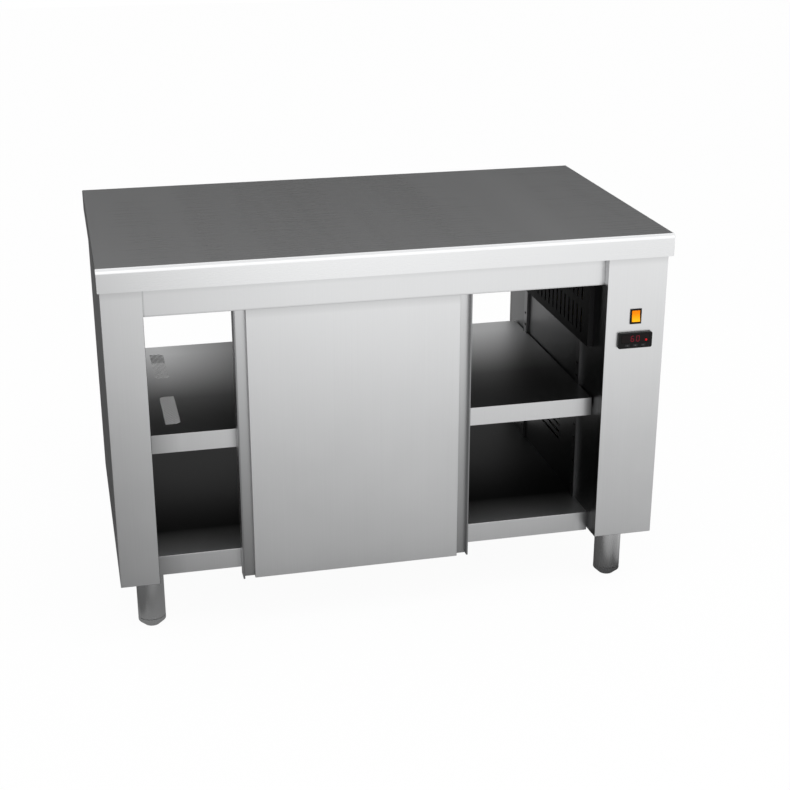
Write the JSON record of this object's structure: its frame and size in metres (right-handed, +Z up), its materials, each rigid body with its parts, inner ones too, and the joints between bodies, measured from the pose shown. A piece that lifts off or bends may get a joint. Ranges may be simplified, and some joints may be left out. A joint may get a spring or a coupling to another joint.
{
  "type": "hot cupboard",
  "caption": "Free-standing stainless-steel pass-through hot cupboard: worktop, heated shelved compartment behind sliding doors on either long side, control column and adjustable feet.",
  "frame": {"origin": "on the floor, under the middle of the worktop", "axes": "+X along the length towards the control column, -Y towards the front with the controls, +Z up"},
  "size_m": [1.2, 0.7, 0.84],
  "materials": {
    "worktop_steel": "fine satin",
    "panel_steel": "fine satin",
    "door_steel": "fine satin",
    "inner_steel": "bright rolled",
    "leg_steel": "satin",
    "hidden_steel": "mill",
    "element_sheath": "heat-dulled",
    "motor_paint": "satin paint",
    "black_plastic": "satin",
    "key_plastic": "matt",
    "red_window": "gloss, tinted",
    "amber_plastic": "gloss, lit",
    "pale_plastic": "matt",
    "nylon": "satin",
    "mineral_wool": "fibrous"
  },
  "bodies": {
    "cabinet": {"worktop": "worktop_steel", "worktop_stiffeners": "hidden_steel", "ceiling_panel": "inner_steel", "left_casing": "panel_steel", "left_lining": "inner_steel", "right_casing": "panel_steel", "right_lining": "inner_steel", "insulation_slabs": "mineral_wool", "hot_air_cover": "inner_steel", "deck": "panel_steel", "deck_frame": "panel_steel", "mid_shelf": "panel_steel", "shelf_uprights": "inner_steel", "shelf_clips": "hidden_steel", "front_fascia": "panel_steel", "rear_fascia": "panel_steel", "door_tracks": "hidden_steel", "door_guides": "hidden_steel", "legs": "leg_steel", "switch_housing": "black_plastic", "controller_case": "black_plastic", "controller_window": "red_window", "heating_element": "element_sheath", "fan_motor": "motor_paint", "air_box": "hidden_steel", "air_probe": "hidden_steel", "safety_thermostat": "pale_plastic", "terminal_block": "pale_plastic", "cable_gland": "black_plastic", "service_cover": "panel_steel", "cover_screws": "hidden_steel"},
    "rocker": {"rocker": "amber_plastic"},
    "left_key": {"left_key": "key_plastic"},
    "middle_key": {"middle_key": "key_plastic"},
    "right_key": {"right_key": "key_plastic"},
    "fan_wheel": {"fan_wheel": "hidden_steel"},
    "foot_front_left": {"foot_front_left": "leg_steel"},
    "foot_front_right": {"foot_front_right": "leg_steel"},
    "foot_rear_left": {"foot_rear_left": "leg_steel"},
    "foot_rear_right": {"foot_rear_right": "leg_steel"},
    "front_outer_door": {"front_outer_pan": "door_steel", "front_outer_back": "door_steel", "front_outer_hangers": "hidden_steel"},
    "front_outer_roller_a": {"front_outer_roller_a": "nylon"},
    "front_outer_roller_b": {"front_outer_roller_b": "nylon"},
    "front_inner_door": {"front_inner_pan": "door_steel", "front_inner_back": "door_steel", "front_inner_hangers": "hidden_steel"},
    "front_inner_roller_a": {"front_inner_roller_a": "nylon"},
    "front_inner_roller_b": {"front_inner_roller_b": "nylon"},
    "rear_outer_door": {"rear_outer_pan": "door_steel", "rear_outer_back": "door_steel", "rear_outer_hangers": "hidden_steel"},
    "rear_outer_roller_a": {"rear_outer_roller_a": "nylon"},
    "rear_outer_roller_b": {"rear_outer_roller_b": "nylon"},
    "rear_inner_door": {"rear_inner_pan": "door_steel", "rear_inner_back": "door_steel", "rear_inner_hangers": "hidden_steel"},
    "rear_inner_roller_a": {"rear_inner_roller_a": "nylon"},
    "rear_inner_roller_b": {"rear_inner_roller_b": "nylon"}
  },
  "joints": [
    {"name": "rocker_tilt", "type": "hinge", "parent": "cabinet", "child": "rocker", "pos_m": [0.528, -0.331, 0.659], "axis": [1, 0, 0], "range_deg": [0, 16]},
    {"name": "left_key_press", "type": "slide", "parent": "cabinet", "child": "left_key", "axis": [0, 1, 0], "range_m": [0, 0.0008], "stiffness_N_per_m": 400},
    {"name": "middle_key_press", "type": "slide", "parent": "cabinet", "child": "middle_key", "axis": [0, 1, 0], "range_m": [0, 0.0008], "stiffness_N_per_m": 400},
    {"name": "right_key_press", "type": "slide", "parent": "cabinet", "child": "right_key", "axis": [0, 1, 0], "range_m": [0, 0.0008], "stiffness_N_per_m": 400},
    {"name": "fan_spin", "type": "hinge", "parent": "cabinet", "child": "fan_wheel", "pos_m": [0.4975, 0, 0.335], "axis": [1, 0, 0], "continuous": true},
    {"name": "foot_front_left_screw", "type": "slide", "parent": "cabinet", "child": "foot_front_left", "axis": [0, 0, -1], "range_m": [0, 0.03]},
    {"name": "foot_front_right_screw", "type": "slide", "parent": "cabinet", "child": "foot_front_right", "axis": [0, 0, -1], "range_m": [0, 0.03]},
    {"name": "foot_rear_left_screw", "type": "slide", "parent": "cabinet", "child": "foot_rear_left", "axis": [0, 0, -1], "range_m": [0, 0.03]},
    {"name": "foot_rear_right_screw", "type": "slide", "parent": "cabinet", "child": "foot_rear_right", "axis": [0, 0, -1], "range_m": [0, 0.03]},
    {"name": "front_outer_door_slide", "type": "slide", "parent": "cabinet", "child": "front_outer_door", "axis": [1, 0, 0], "range_m": [-0.1786, 0.2899]},
    {"name": "front_outer_roller_a_spin", "type": "hinge", "parent": "front_outer_door", "child": "front_outer_roller_a", "pos_m": [-0.2629, -0.30975, 0.7698], "axis": [0, 1, 0], "continuous": true},
    {"name": "front_outer_roller_b_spin", "type": "hinge", "parent": "front_outer_door", "child": "front_outer_roller_b", "pos_m": [0.1001, -0.30975, 0.7698], "axis": [0, 1, 0], "continuous": true},
    {"name": "front_inner_door_slide", "type": "slide", "parent": "cabinet", "child": "front_inner_door", "axis": [1, 0, 0], "range_m": [-0.1786, 0.2899]},
    {"name": "front_inner_roller_a_spin", "type": "hinge", "parent": "front_inner_door", "child": "front_inner_roller_a", "pos_m": [-0.2629, -0.29375, 0.7698], "axis": [0, 1, 0], "continuous": true},
    {"name": "front_inner_roller_b_spin", "type": "hinge", "parent": "front_inner_door", "child": "front_inner_roller_b", "pos_m": [0.1001, -0.29375, 0.7698], "axis": [0, 1, 0], "continuous": true},
    {"name": "rear_outer_door_slide", "type": "slide", "parent": "cabinet", "child": "rear_outer_door", "axis": [1, 0, 0], "range_m": [-0.2899, 0.1786]},
    {"name": "rear_outer_roller_a_spin", "type": "hinge", "parent": "rear_outer_door", "child": "rear_outer_roller_a", "pos_m": [0.2114, 0.30975, 0.7698], "axis": [0, 1, 0], "continuous": true},
    {"name": "rear_outer_roller_b_spin", "type": "hinge", "parent": "rear_outer_door", "child": "rear_outer_roller_b", "pos_m": [-0.1516, 0.30975, 0.7698], "axis": [0, 1, 0], "continuous": true},
    {"name": "rear_inner_door_slide", "type": "slide", "parent": "cabinet", "child": "rear_inner_door", "axis": [1, 0, 0], "range_m": [-0.2899, 0.1786]},
    {"name": "rear_inner_roller_a_spin", "type": "hinge", "parent": "rear_inner_door", "child": "rear_inner_roller_a", "pos_m": [0.2114, 0.29375, 0.7698], "axis": [0, 1, 0], "continuous": true},
    {"name": "rear_inner_roller_b_spin", "type": "hinge", "parent": "rear_inner_door", "child": "rear_inner_roller_b", "pos_m": [-0.1516, 0.29375, 0.7698], "axis": [0, 1, 0], "continuous": true}
  ],
  "couplings": [
    {"joint": "front_outer_roller_a_spin", "follows": "front_outer_door_slide", "rad_per_m": 90.909},
    {"joint": "front_outer_roller_b_spin", "follows": "front_outer_door_slide", "rad_per_m": 90.909},
    {"joint": "front_inner_roller_a_spin", "follows": "front_inner_door_slide", "rad_per_m": 90.909},
    {"joint": "front_inner_roller_b_spin", "follows": "front_inner_door_slide", "rad_per_m": 90.909},
    {"joint": "rear_outer_roller_a_spin", "follows": "rear_outer_door_slide", "rad_per_m": 90.909},
    {"joint": "rear_outer_roller_b_spin", "follows": "rear_outer_door_slide", "rad_per_m": 90.909},
    {"joint": "rear_inner_roller_a_spin", "follows": "rear_inner_door_slide", "rad_per_m": 90.909},
    {"joint": "rear_inner_roller_b_spin", "follows": "rear_inner_door_slide", "rad_per_m": 90.909}
  ]
}
